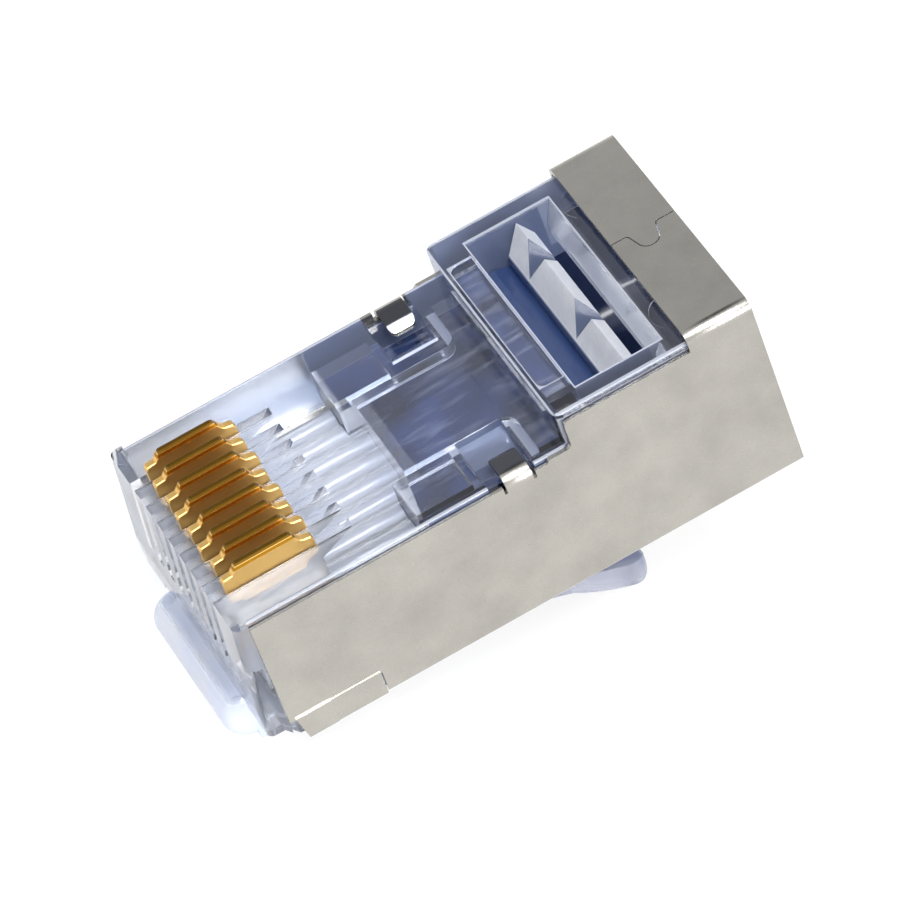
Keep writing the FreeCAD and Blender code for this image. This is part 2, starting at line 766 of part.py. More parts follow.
# ---- Attitude at rest and export ----------------------------------------------------------------
def rest_lean():
    """Angle of the line that touches the round root and the round tail of the latch from below."""
    tip = latch_profile()[-1]
    run, drop = tip[0] - root_x, root_z - tip[1]
    return math.degrees(math.atan2(drop, run) + math.asin((tail_round - root_radius) / math.hypot(run, drop)))


def set_down(pieces):
    """Leans every piece to the resting attitude and centres the whole plug over the origin."""
    for shape in pieces.values():
        shape.rotate(Vector(0, 0, 0), Vector(0, 1, 0), -rest_lean())
    points = []
    for shape in pieces.values():
        points += shape.tessellate(0.005)[0]
    middle = (min(p.x for p in points) + max(p.x for p in points)) / 2
    foot = min(p.z for p in points)
    for shape in pieces.values():
        shape.translate(Vector(-middle, 0, -foot))
    print("lean", round(rest_lean(), 4), "middle", round(middle, 5), "foot", round(foot, 5))


def main():
    pieces = {
        "housing": housing(),
        "latch": latch(),
        "strain_relief_bar": strain_relief_bar(),
        "shield": shield(),
    }
    for index, (shift, y) in enumerate(contact_places(), start=1):
        pieces["contact_" + str(index)] = contact(shift, y)
    set_down(pieces)
    os.makedirs("parts", exist_ok=True)
    for name, shape in pieces.items():
        if not shape.isValid() or not shape.Solids:
            raise ValueError(name + " isn't a valid solid")
        shape.exportStep("parts/" + name + ".step")
        print(name, "solids", len(shape.Solids), "volume", round(shape.Volume, 3))


main()
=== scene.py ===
"""Looks of a shielded eight-way modular plug, lying on its latch with the contacts up.

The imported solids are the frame. Every solid keeps its own mesh and gets the finish of the real one:
clear moulded polycarbonate, frosted polycarbonate, gold plate and satin nickel plate.
"""
import json
import math

import bpy
import numpy as np
from mathutils import Matrix, Vector


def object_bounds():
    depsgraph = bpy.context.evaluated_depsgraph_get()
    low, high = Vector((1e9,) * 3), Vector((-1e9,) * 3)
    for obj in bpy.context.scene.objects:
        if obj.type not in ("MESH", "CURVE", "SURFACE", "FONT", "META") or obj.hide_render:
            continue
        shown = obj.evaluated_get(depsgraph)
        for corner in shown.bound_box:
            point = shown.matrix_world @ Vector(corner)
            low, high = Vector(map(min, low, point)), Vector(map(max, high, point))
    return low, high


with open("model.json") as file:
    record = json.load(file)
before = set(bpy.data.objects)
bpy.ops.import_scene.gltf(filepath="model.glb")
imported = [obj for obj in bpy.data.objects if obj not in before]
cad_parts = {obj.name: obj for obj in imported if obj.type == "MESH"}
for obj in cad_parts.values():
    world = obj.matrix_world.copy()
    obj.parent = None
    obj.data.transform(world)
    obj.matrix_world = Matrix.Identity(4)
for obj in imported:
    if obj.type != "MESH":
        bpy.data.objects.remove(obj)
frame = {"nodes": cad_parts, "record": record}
SOLID_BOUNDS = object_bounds()

bl_info = {
    "name": "Modular plug looks",
    "version": (1, 0, 0),
    "blender": (4, 5, 0),
    "location": "View3D > Sidebar > Modular plug",
    "description": "Finishes and studio for a shielded eight-way modular plug",
    "category": "Object",
}

MM = 0.001
JOINTS = {joint["name"]: joint for joint in frame["record"]["behaviour"]["joints"]}
CONTACTS = sorted(name for name in frame["nodes"] if name.startswith("contact_"))
# The plug is drawn level and then leans nose down to its rest on the latch. The contacts slide along
# the plug's own upright, so that slide gives the lean. The latch's hinge gives a point known in both.
SLIDE_AXIS = JOINTS["contact_1_crimp"]["axis"]
LEAN = math.atan2(SLIDE_AXIS[0], -SLIDE_AXIS[2])
ROOT_AT_REST = JOINTS["latch_flex"]["pos_m"]
ROOT_LEVEL_MM = (0.05, 0.0, -0.10)

# Zones with a finish of their own, most of them painted shade in dark colours and painted light in a
# pale one, are unions of boxes in level millimetres: low corner, high corner and softness of the faces.
# The plug is the same on both sides, so Y counts as |Y|, but not in the one-sided zones.
SHARP, CRISP = 0.02, 0.03
MID = -1  # low Y of a box that spans the middle: beyond it, so that no soft face shows
CLEAR_ZONES = {
    "milky front": (
        ((0.30, MID, -0.1), (8.60, 5.20, 6.20), 0.3),
        ((0.30, MID, -0.1), (9.45, 2.38, 5.60), 0.3),
    ),
    "latch root": (((-1.30, MID, -1.4), (1.20, 4.00, 0.90), 0.2),),
    # Painted light: pale on the front outer walls.
    "front sides": (((0.9, 5.45, 0.4), (8.6, 5.80, 6.12), 0.2),),
    # Painted shade on the raised block's outer walls.
    "rear sides": (((8.4, 5.45, 0.4), (22.4, 5.80, 7.60), 0.1),),
    "latch tail": (((9.5, MID, -7.0), (17.3, 2.0, -1.5), 0.8),),
    # Painted shade: dark blue on the walls and floors of the deep hollows.
    "deep hollows": (
        ((8.97, MID, 1.2), (15.60, 2.40, 4.97), CRISP),
        ((8.30, 2.30, 1.2), (15.60, 4.75, 4.97), CRISP),
        ((14.50, MID, 5.9), (15.62, 4.05, 6.72), CRISP),
    ),
    # Painted shade: dark blue in the hollow under the window.
    "jacket hollow": (((15.63, MID, 0.5), (22.00, 4.80, 5.93), CRISP),),
    # Painted light: pale on the ends of the ribs.
    "rib ends": (
        ((8.86, 2.24, 4.90), (13.50, 2.64, 5.06), CRISP),
        ((13.13, 2.24, 4.90), (13.49, 4.60, 5.06), CRISP),
    ),
    # Painted highlight: a pale line on the far pocket's inner wall.
    "far pocket wall": (((10.95, 2.52, 5.85), (13.00, 2.80, 6.26), CRISP),),
    # Painted shade over the near pocket.
    "near pocket": (((10.95, -4.40, 5.40), (13.00, -2.45, 6.26), CRISP),),
    # Painted shade on the window's ends.
    "window ends": (((15.3, 4.64, 5.0), (19.3, 4.84, 7.70), CRISP),),
    # Painted light: pale on the window's rear wall.
    "window rear wall": (((18.60, MID, 5.6), (19.25, 4.74, 7.75), 0.1),),
    # Painted highlights: the outline between block top and block field, and the rims.
    "block top": (((14.10, MID, 7.72), (22.0, 5.60, 7.90), SHARP),),
    "block field": (((14.27, MID, 7.00), (22.5, 5.47, 8.00), SHARP),),
    "rims": (
        ((15.46, MID, 7.74), (19.19, 4.81, 7.90), SHARP),
        ((14.39, MID, 7.74), (15.46, 4.00, 7.90), SHARP),
        ((0.90, 5.47, 6.20), (14.20, 5.60, 6.34), SHARP),
    ),
}
ONE_SIDED = ("far pocket wall", "near pocket")
# Painted shade: the hinge web in front of the wedge is painted dark blue.
HINGE_WEB_SHADE = (((15.0, -6.0, 5.0), (16.95, 6.0, 6.3), 0.05),)
# The sheet's dark cut edges, and painted shade on the flat tops of the ears.
CUT_EDGES_AND_EAR_SHADE = (
    ((0.5, 5.4, 6.04), (14.3, 5.68, 6.16), SHARP),
    ((13.9, 5.4, 7.47), (19.8, 5.68, 7.59), SHARP),
    ((11.4, 4.16, 6.14), (12.9, 5.40, 6.50), CRISP),
)
# A box round the tops of all eight blades: X from and to, Y to each side, Z up to.
BLADES_FROM, BLADES_TO, BLADES_SIDE, BLADES_TOP = 0.5, 5.0, 5.0, 7.5
# The bands: painted shade on the facets, a painted highlight in the rim, painted shade on the crests.
FACET_SHADE_FOOT, RIM_HIGHLIGHT_FOOT, CREST_SHADE_FOOT = 7.06, 7.18, 7.215  # heights where the tops' bands start
# The notches' flanks get painted shade.
NOTCH_MIDDLES = (2.90, -1.08)  # the wedge's two notches, across the plug
NOTCH_SLOPE = 1.7037  # rise of a notch's flank over its run
NOTCH_FOOT = 6.4  # height of a notch's foot
NOTCH_CLEAR, NOTCH_FULL = 0.07, 0.04  # distances from a flank where its finish ends and is full

# Sizes of the patterns in millimetres, those with three values along X, Y and Z. The nickel's specks
# and the stamping lines are finer in fact, and are drawn as coarse as they need to show.
# The patches tone the hollows' painted shade and the latch root's clouds; the threads are the hollows'
# painted glints.
HOLLOW_PATCH_MM = 1.818
HOLLOW_GLINT_THREADS_MM = (3.571, 0.6667, 0.6667)
FROST_GRAIN_MM = 0.08333
FROST_STREAK_MM = 0.7692
NICKEL_CLOUD_MM = 2.222
NICKEL_SPECK_MM = 0.1111
STAMPING_LINES_MM = (0.07143, 0.5, 0.8333)

POLYCARBONATE_IOR = 1.585
POLISH = 0.36  # specular level of the moulded faces, where 0.5 is a flawless face
WELD_MM = 0.0002  # corners closer than this are one
MOULDED_EDGE_MM = 0.05
BAR_EDGE_MM = 0.06
SHEET_EDGE_MM = 0.04
SHARP_EDGE_ANGLE = math.radians(35)
ROUNDING_STEPS = 2

# The camera in the level drawing: its place, the way it looks and the way to its right.
CAMERA_LEVEL_MM = (-27.151, -205.376, 204.498)
CAMERA_FORWARD = Vector((0.1325, 0.7083, -0.6933)).normalized()
CAMERA_RIGHT = Vector((0.8658, -0.4233, -0.267))
SENSOR_MM = 36.0
LENS_MM = 313.92
# The studio is in the scene's own metres.
PLUG_MIDDLE = (0.0, 0.0, 0.008)
LAMPS = {  # place, size and power in watts
    "soft_key": ((-0.07, -0.29, 0.49), (0.30, 0.22), 5.0),
    "soft_fill": ((0.20, -0.43, 0.15), (0.30, 0.16), 2.5),
}
CARD_DIRECTION = Vector((-0.05, 0.38, 0.925)).normalized()
CARD_EDGE, CARD_FULL = 0.938, 0.985  # cosines from the card's middle where it ends and is full
PAPER_BEND = 0.2  # radius of the bend from floor to backdrop
PAPER_BEND_POINTS = 17
PAPER_SIDES = 64
PAPER_GLOW = 0.82  # share of the paper that is seen as even white


def linear(hex_colour):
    """Linear red, green, blue and 1 from an sRGB hex value such as #C0C0C0."""
    channels = [int(hex_colour[i:i + 2], 16) / 255 for i in (1, 3, 5)]
    return tuple(c / 12.92 if c <= 0.04045 else ((c + 0.055) / 1.055) ** 2.4 for c in channels) + (1.0,)


def add(tree, kind, links=None, **settings):
    """Adds a node with its own settings.

    links maps an input's name or number to the output socket that feeds it, or to a plain value.
    """
    made = tree.nodes.new(kind)
    for key, value in settings.items():
        setattr(made, key, value)
    for key, value in (links or {}).items():
        if isinstance(value, bpy.types.NodeSocket):
            tree.links.new(value, made.inputs[key])
        else:
            made.inputs[key].default_value = value
    return made


def new_material(name):
    """Empty node material and its output node."""
    material = bpy.data.materials.new(name)
    material.use_nodes = True
    tree = material.node_tree
    tree.nodes.clear()
    return material, tree, add(tree, "ShaderNodeOutputMaterial")


def level_position(tree):
    """Place on the plug in millimetres in its level drawing: X from the nose, Z from the latch side.

    level = turn by the lean about Y of the place at rest, plus what brings the latch's hinge to its
    level place.
    """
    turned = Matrix.Rotation(LEAN, 3, "Y") @ Vector(ROOT_AT_REST) / MM
    shift = Vector(ROOT_LEVEL_MM) - turned
    place = add(tree, "ShaderNodeTexCoord").outputs["Object"]
    turned_place = add(
        tree, "ShaderNodeMapping",
        {"Vector": place, "Location": shift, "Rotation": (0, LEAN, 0), "Scale": (1 / MM,) * 3},
        vector_type="POINT",
    )
    return turned_place.outputs["Vector"]


def fold(tree, place):
    """The place with |Y| for Y."""
    x, y, z = add(tree, "ShaderNodeSeparateXYZ", {0: place}).outputs
    across = add(tree, "ShaderNodeMath", {0: y}, operation="ABSOLUTE").outputs[0]
    return add(tree, "ShaderNodeCombineXYZ", {0: x, 1: across, 2: z}).outputs[0]


def inside(tree, place, low, high, soft):
    """1 inside a box in the plug's level millimetres, falling to 0 within soft inside its faces.

    The factor is the least of (half size - |p - middle|) / soft over the three axes.
    """
    middle = [(a + b) / 2 for a, b in zip(low, high)]
    start = [(b - a) / 2 / soft for a, b in zip(low, high)]
    slope = (-1 / soft,) * 3
    away = add(tree, "ShaderNodeVectorMath", {0: place, 1: middle}, operation="SUBTRACT").outputs[0]
    away = add(tree, "ShaderNodeVectorMath", {0: away}, operation="ABSOLUTE").outputs[0]
    depth = add(
        tree, "ShaderNodeVectorMath", {0: away, 1: slope, 2: start}, operation="MULTIPLY_ADD"
    ).outputs[0]
    x, y, z = add(tree, "ShaderNodeSeparateXYZ", {0: depth}).outputs
    least = add(tree, "ShaderNodeMath", {0: x, 1: y}, operation="MINIMUM").outputs[0]
    return add(
        tree, "ShaderNodeMath", {0: least, 1: z}, operation="MINIMUM", use_clamp=True
    ).outputs[0]


def union(tree, masks):
    """1 where any of the masks is 1."""
    whole = masks[0]
    for mask in masks[1:]:
        whole = add(tree, "ShaderNodeMath", {0: whole, 1: mask}, operation="MAXIMUM").outputs[0]
    return whole


def zone(tree, place, boxes):
    """1 inside any of the boxes."""
    return union(tree, [inside(tree, place, *box) for box in boxes])


def lay(tree, finish, mask, colour, scatter, roughness):
    """Lays a zone over a finish of (colour, share of light scattered, roughness) by its mask.

    A metal scatters no light under its surface, so its share stays 0 and gets no node.
    """
    tinted = add(
        tree, "ShaderNodeMix", {0: mask, 6: finish[0], 7: colour}, data_type="RGBA"
    ).outputs[2]
    if finish[1] == 0 and scatter == 0:
        scattered = 0
    else:
        scattered = add(tree, "ShaderNodeMix", {0: mask, 2: finish[1], 3: scatter}).outputs[0]
    rough = add(tree, "ShaderNodeMix", {0: mask, 2: finish[2], 3: roughness}).outputs[0]
    return tinted, scattered, rough


def dress(node_name, material):
    """Gives one solid of the frame its finish."""
    solid = frame["nodes"][node_name]
    for slot in solid.material_slots:
        slot.material = material
    if not solid.material_slots:
        solid.data.materials.append(material)
    return solid


def soften_edges(solid, width_mm):
    """Joins the solid's loose triangles and rounds its sharp edges, as a tool leaves them."""
    weld = solid.modifiers.new("join", "WELD")
    weld.merge_threshold = WELD_MM * MM
    bevel = solid.modifiers.new("edge rounding", "BEVEL")
    bevel.width = width_mm * MM
    bevel.segments = ROUNDING_STEPS
    bevel.limit_method = "ANGLE"
    bevel.angle_limit = SHARP_EDGE_ANGLE


class MouldingLooks(bpy.types.PropertyGroup):
    clear: bpy.props.FloatVectorProperty(
        name="Clear plastic", description="Tint of light that passes one surface", subtype="COLOR",
        size=4, default=linear("#F4F5F8"), min=0, max=1)
    # Painted shade: the blue laid on the walls of the deep hollows and on the hinge web.
    hollow: bpy.props.FloatVectorProperty(
        name="Hollow", description="Blue of the walls of the deep hollows", subtype="COLOR",
        size=4, default=linear("#26375E"), min=0, max=1)
    # Painted shade: the darkest blue of the deep hollows' walls.
    hollow_shade_dark: bpy.props.FloatVectorProperty(
        name="Hollow, dark", description="Darkest blue of the walls of the deep hollows",
        subtype="COLOR", size=4, default=linear("#0D1A3A"), min=0, max=1)
    # Painted shade: the dark blue of the hollow under the window.
    pit_shade: bpy.props.FloatVectorProperty(
        name="Window hollow", description="Colour of the hollow under the window", subtype="COLOR",
        size=4, default=linear("#121B33"), min=0, max=1)
    milk: bpy.props.FloatVectorProperty(
        name="Milk", description="Colour of the light that the ribbed front end scatters",
        subtype="COLOR", size=4, default=linear("#CED0D5"), min=0, max=1)
    # Pale colour of painted light on the ends of the ribs, the front outer walls, the far pocket wall,
    # the window's rear wall and the rims, and of the painted glints; also one tone of the latch root's
    # clouds.
    rib_tone_and_highlight: bpy.props.FloatVectorProperty(
        name="Ribs", description="Colour of the ribs, the rims and the outer walls",
        subtype="COLOR", size=4, default=linear("#C6CBD8"), min=0, max=1)
    # Painted shade on the raised block's walls, the near pocket, the window's ends and the bar's
    # notches.
    shade: bpy.props.FloatVectorProperty(
        name="Block sides", description="Colour of the raised block's walls and the bar's notches",
        subtype="COLOR", size=4, default=linear("#545D76"), min=0, max=1)
    tail: bpy.props.FloatVectorProperty(
        name="Tail", description="Tint of the latch's thick tail", subtype="COLOR",
        size=4, default=linear("#7E86A6"), min=0, max=1)
    milkiness: bpy.props.FloatProperty(
        name="Milkiness", description="Share of light that the ribbed front end scatters",
        default=0.32, min=0, max=1)
    gloss_roughness: bpy.props.FloatProperty(
        name="Roughness", description="Roughness of the polished mould's surface",
        default=0.03, min=0, max=1)
    ripple_mm: bpy.props.FloatProperty(
        name="Ripple spacing", description="Distance between flow ripples in millimetres",
        default=1.6, min=0.1)
    frost: bpy.props.FloatVectorProperty(
        name="Frosted plastic", description="Colour of the frosted faces", subtype="COLOR",
        size=4, default=linear("#F0F2F6"), min=0, max=1)
    frost_dark: bpy.props.FloatVectorProperty(
        name="Frosted plastic, thin", description="Colour of the frosted faces where light is lost",
        subtype="COLOR", size=4, default=linear("#E2E5EC"), min=0, max=1)


class MetalLooks(bpy.types.PropertyGroup):
    nickel: bpy.props.FloatVectorProperty(
        name="Nickel", description="Colour of the satin nickel plate", subtype="COLOR",
        size=4, default=linear("#B1AEA7"), min=0, max=1)
    # The sheet's dark cut edges, and painted shade on the ears' flat tops.
    cut_edge_and_ear_shade: bpy.props.FloatVectorProperty(
        name="Cut edges", description="Colour of the sheet's cut edges and of its pressed ears",
        subtype="COLOR", size=4, default=linear("#5A5B60"), min=0, max=1)
    # Painted shade on the blades' crests.
    crest_shade: bpy.props.FloatVectorProperty(
        name="Blade crests", description="Colour of the coined tops of the blades", subtype="COLOR",
        size=4, default=linear("#6E5119"), min=0, max=1)
    # Painted shade on the blades' slanted facets.
    facet_shade: bpy.props.FloatVectorProperty(
        name="Blade facets", description="Colour of the slanted facets beside the blades' tops",
        subtype="COLOR", size=4, default=linear("#A4741F"), min=0, max=1)
    gold: bpy.props.FloatVectorProperty(
        name="Gold", description="Colour of the gold plate", subtype="COLOR",
        size=4, default=linear("#E6BC72"), min=0, max=1)
    nickel_roughness: bpy.props.FloatProperty(
        name="Nickel roughness", description="Roughness of the rolled and plated sheet",
        default=0.21, min=0, max=1)
    gold_roughness: bpy.props.FloatProperty(
        name="Gold roughness", description="Roughness of the plated blades",
        default=0.36, min=0, max=1)


class StudioLooks(bpy.types.PropertyGroup):
    floor: bpy.props.FloatVectorProperty(
        name="Floor", description="Colour of the floor and the backdrop", subtype="COLOR",
        size=4, default=linear("#FAFAFA"), min=0, max=1)
    surround: bpy.props.FloatVectorProperty(
        name="Surround", description="Colour of the room above the backdrop", subtype="COLOR",
        size=4, default=linear("#E2E3E5"), min=0, max=1)
    card: bpy.props.FloatVectorProperty(
        name="Black card", description="Colour of the card above and behind the plug",
        subtype="COLOR", size=4, default=linear("#33302D"), min=0, max=1)
    floor_size: bpy.props.FloatProperty(
        name="Floor radius", description="Distance from the plug to the backdrop",
        default=1.2, unit="LENGTH")
    backdrop_height: bpy.props.FloatProperty(
        name="Backdrop height", description="Height of the white backdrop",
        default=0.45, unit="LENGTH")


def hollow_painted_shade(tree, place, patches, looks):
    """Painted shade on the walls of the deep hollows: blue from dark to light in patches, with painted
    glints as bright threads along X.
    """
    navy = add(
        tree, "ShaderNodeMix", {0: patches, 6: looks.hollow_shade_dark, 7: looks.hollow}, data_type="RGBA"
    )
    drawn = add(
        tree, "ShaderNodeMapping",
        {"Vector": place, "Scale": [1 / size for size in HOLLOW_GLINT_THREADS_MM]}, vector_type="POINT",
    )
    threads = add(
        tree, "ShaderNodeTexNoise",
        {"Vector": drawn.outputs[0], "Scale": 1.0, "Detail": 2.0, "Roughness": 0.6},
    )
    # Painted glints: bright threads of the pale colour over the painted shade.
    painted_glints = add(
        tree, "ShaderNodeMapRange",
        {"Value": threads.outputs[0], "From Min": 0.52, "From Max": 0.76, "To Max": 0.28},
    )
    return add(
        tree, "ShaderNodeMix", {0: painted_glints.outputs[0], 6: navy.outputs[2], 7: looks.rib_tone_and_highlight},
        data_type="RGBA",
    ).outputs[2]


def clear_finish(tree, place, looks):
    """Finish of the clear mouldings with all their zones, and the mask of the milky front end."""
    folded = fold(tree, place)
    mottle = add(
        tree, "ShaderNodeTexNoise",
        {"Vector": place, "Scale": 1 / HOLLOW_PATCH_MM, "Detail": 1.0, "Roughness": 0.6},
    )
    patches = add(
        tree, "ShaderNodeMapRange", {"Value": mottle.outputs[0], "From Min": 0.35, "From Max": 0.68}
    ).outputs[0]
    painted_hollow_shade = hollow_painted_shade(tree, place, patches, looks)
    clouds = add(
        tree, "ShaderNodeMix", {0: patches, 6: looks.rib_tone_and_highlight, 7: looks.milk}, data_type="RGBA"
    ).outputs[2]
    milky = zone(tree, folded, CLEAR_ZONES["milky front"])
    finish = (looks.clear, 0.0, looks.gloss_roughness)
    finish = lay(tree, finish, milky, looks.milk, scatter=looks.milkiness, roughness=0.22)
    # Each zone with its colour, share of light scattered and roughness, in the order they are laid. Past
    # the latch's root and tail, the dark zones are painted shade and the pale ones painted light.
    for name, colour, scatter, roughness in (
        ("latch root", clouds, 0.6, 0.35),
        ("front sides", looks.rib_tone_and_highlight, 0.2, 0.3),
        ("rear sides", looks.shade, 0.7, 0.3),
        ("latch tail", looks.tail, 0.4, 0.08),
        ("deep hollows", painted_hollow_shade, 0.92, 0.25),
        ("jacket hollow", looks.pit_shade, 0.92, 0.25),
        ("rib ends", looks.rib_tone_and_highlight, 0.26, 0.35),
        ("far pocket wall", looks.rib_tone_and_highlight, 0.6, 0.35),
        ("near pocket", looks.shade, 0.58, 0.3),
        ("window ends", looks.shade, 0.6, 0.3),
        ("window rear wall", looks.rib_tone_and_highlight, 0.35, 0.25),
    ):
        mask = zone(tree, place if name in ONE_SIDED else folded, CLEAR_ZONES[name])
        finish = lay(tree, finish, mask, colour, scatter, roughness)
    # Painted highlights: a pale outline round the block's top, and the rims.
    block_top = zone(tree, folded, CLEAR_ZONES["block top"])
    block_field = zone(tree, folded, CLEAR_ZONES["block field"])
    outline = add(
        tree, "ShaderNodeMath", {0: block_top, 1: block_field}, operation="SUBTRACT", use_clamp=True
    )
    rims = union(tree, [outline.outputs[0], zone(tree, folded, CLEAR_ZONES["rims"])])
    return lay(tree, finish, rims, looks.rib_tone_and_highlight, scatter=0.42, roughness=0.2), milky


def clear_polycarbonate(looks):
    """Clear polycarbonate, injection moulded in a polished tool.

    To the eye it is glass-like with a faint blue cast and slow flow ripples. The floors and walls of
    the deep hollows and the hollow under the window are painted dark blue as painted shade, with
    painted glints, and the raised block's walls, the near pocket and the window's ends get painted
    shade too. The ribbed front end and the latch's root scatter light and look milky. The sides of the
    ribs, the front outer walls, the far pocket wall, the window's rear wall and the rims of the raised
    block and its window scatter light and are painted pale, as painted light.
    """
    material, tree, output = new_material("clear_polycarbonate_moulded")
    place = level_position(tree)
    finish, milky = clear_finish(tree, place, looks)
    passed = add(
        tree, "ShaderNodeMath", {0: 1.0, 1: finish[1]}, operation="SUBTRACT", use_clamp=True
    )
    ripples = add(
        tree, "ShaderNodeTexNoise",
        {"Vector": place, "Scale": 1 / looks.ripple_mm, "Detail": 1.0, "Roughness": 0.5},
    )
    waviness = add(tree, "ShaderNodeMath", {0: milky, 1: 0.5, 2: 0.12}, operation="MULTIPLY_ADD")
    bump = add(
        tree, "ShaderNodeBump",
        {"Height": ripples.outputs[0], "Strength": waviness.outputs[0], "Distance": 0.12 * MM},
    )
    body = add(
        tree, "ShaderNodeBsdfPrincipled",
        {
            "Base Color": finish[0], "Roughness": finish[2], "IOR": POLYCARBONATE_IOR,
            "Specular IOR Level": POLISH, "Transmission Weight": passed.outputs[0],
            "Normal": bump.outputs[0],
        },
    )
    # Shadow rays pass straight through with a small loss, so that lamps light what is inside.
    see_through = add(tree, "ShaderNodeBsdfTransparent", {"Color": linear("#DDE3EE")})
    path = add(tree, "ShaderNodeLightPath")
    mixed = add(
        tree, "ShaderNodeMixShader",
        {0: path.outputs["Is Shadow Ray"], 1: body.outputs[0], 2: see_through.outputs[0]},
    )
    tree.links.new(mixed.outputs[0], output.inputs["Surface"])
    return material


def groove(tree, place, middle):
    """Mask of the two flanks of a V-shaped notch across the wedge's ridge.

    It is 1 where |z - (foot + slope |y - middle|)| is small.
    """
    _, y, z = add(tree, "ShaderNodeSeparateXYZ", {0: place}).outputs
    aside = add(tree, "ShaderNodeMath", {0: y, 1: middle}, operation="SUBTRACT")
    away = add(tree, "ShaderNodeMath", {0: aside.outputs[0]}, operation="ABSOLUTE")
    flank = add(
        tree, "ShaderNodeMath", {0: away.outputs[0], 1: NOTCH_SLOPE, 2: NOTCH_FOOT},
        operation="MULTIPLY_ADD",
    )
    above = add(tree, "ShaderNodeMath", {0: z, 1: flank.outputs[0]}, operation="SUBTRACT")
    gap = add(tree, "ShaderNodeMath", {0: above.outputs[0]}, operation="ABSOLUTE")
    return add(
        tree, "ShaderNodeMapRange",
        {"Value": gap.outputs[0], "From Min": NOTCH_CLEAR, "From Max": NOTCH_FULL},
    ).outputs[0]


def frosted_polycarbonate(looks):
    """The same polycarbonate from a sand-blasted part of the tool: milky, with faint streaks.

    The thin hinge web in front of the wedge is painted dark blue, as painted shade of the hollow below
    it.
    The flanks of the notches are smoother and painted darker than the rest, as painted shade.
    """
    material, tree, output = new_material("frosted_polycarbonate_moulded")
    place = level_position(tree)
    grain = add(
        tree, "ShaderNodeTexNoise",
        {"Vector": place, "Scale": 1 / FROST_GRAIN_MM, "Detail": 3.0, "Roughness": 0.6},
    )
    streaks = add(
        tree, "ShaderNodeTexNoise",
        {
            "Vector": place, "Scale": 1 / FROST_STREAK_MM, "Detail": 4.0, "Roughness": 0.7,
            "Distortion": 1.0,
        },
    )
    cloudy = add(
        tree, "ShaderNodeMapRange", {"Value": streaks.outputs[0], "From Min": 0.35, "From Max": 0.65}
    )
    tone = add(
        tree, "ShaderNodeMix", {0: cloudy.outputs[0], 6: looks.frost_dark, 7: looks.frost},
        data_type="RGBA",
    )
    finish = (tone.outputs[2], 0.55, 0.32)
    # Painted shade: the hinge web is painted dark blue.
    web = zone(tree, place, HINGE_WEB_SHADE)
    finish = lay(tree, finish, web, looks.hollow, scatter=0.85, roughness=0.15)
    # Painted shade on the notches' flanks.
    notches = union(tree, [groove(tree, place, middle) for middle in NOTCH_MIDDLES])
    finish = lay(tree, finish, notches, looks.shade, scatter=0.6, roughness=0.2)
    passed = add(
        tree, "ShaderNodeMath", {0: 1.0, 1: finish[1]}, operation="SUBTRACT", use_clamp=True
    )
    bump = add(
        tree, "ShaderNodeBump", {"Height": grain.outputs[0], "Strength": 0.25, "Distance": 0.02 * MM}
    )
    body = add(
        tree, "ShaderNodeBsdfPrincipled",
        {
            "Base Color": finish[0], "Roughness": finish[2], "IOR": POLYCARBONATE_IOR,
            "Transmission Weight": passed.outputs[0], "Normal": bump.outputs[0],
        },
    )
    tree.links.new(body.outputs[0], output.inputs["Surface"])
    return material


def satin_nickel(looks):
    """Nickel plate on thin rolled steel: a warm grey satin with a cloudy mottle from the rolling oil."""
    material, tree, output = new_material("satin_nickel_plate")
    place = level_position(tree)
    clouds = add(
        tree, "ShaderNodeTexNoise",
        {"Vector": place, "Scale": 1 / NICKEL_CLOUD_MM, "Detail": 4.0, "Roughness": 0.55},
    )
    specks = add(
        tree, "ShaderNodeTexNoise",
        {"Vector": place, "Scale": 1 / NICKEL_SPECK_MM, "Detail": 3.0, "Roughness": 0.7},
    )
    cloudy = add(
        tree, "ShaderNodeMapRange",
        {"Value": clouds.outputs[0], "From Min": 0.3, "From Max": 0.7, "To Min": 0.90, "To Max": 1.08},
    )
    tone = add(
        tree, "ShaderNodeMix", {0: 1.0, 6: looks.nickel, 7: cloudy.outputs[0]},
        data_type="RGBA", blend_type="MULTIPLY",
    )
    # The sheet's cut edges are dark, and the ears' flat tops get painted shade.
    dark = zone(tree, fold(tree, place), CUT_EDGES_AND_EAR_SHADE)
    finish = (tone.outputs[2], 0, looks.nickel_roughness)
    finish = lay(tree, finish, dark, looks.cut_edge_and_ear_shade, scatter=0, roughness=0.3)
    rough = add(
        tree, "ShaderNodeMath", {0: specks.outputs[0], 1: 0.1, 2: finish[2]}, operation="MULTIPLY_ADD"
    )
    bump = add(
        tree, "ShaderNodeBump", {"Height": specks.outputs[0], "Strength": 0.15, "Distance": 0.006 * MM}
    )
    body = add(
        tree, "ShaderNodeBsdfPrincipled",
        {
            "Base Color": finish[0], "Metallic": 1.0, "Roughness": rough.outputs[0],
            "Normal": bump.outputs[0],
        },
    )
    tree.links.new(body.outputs[0], output.inputs["Surface"])
    return material


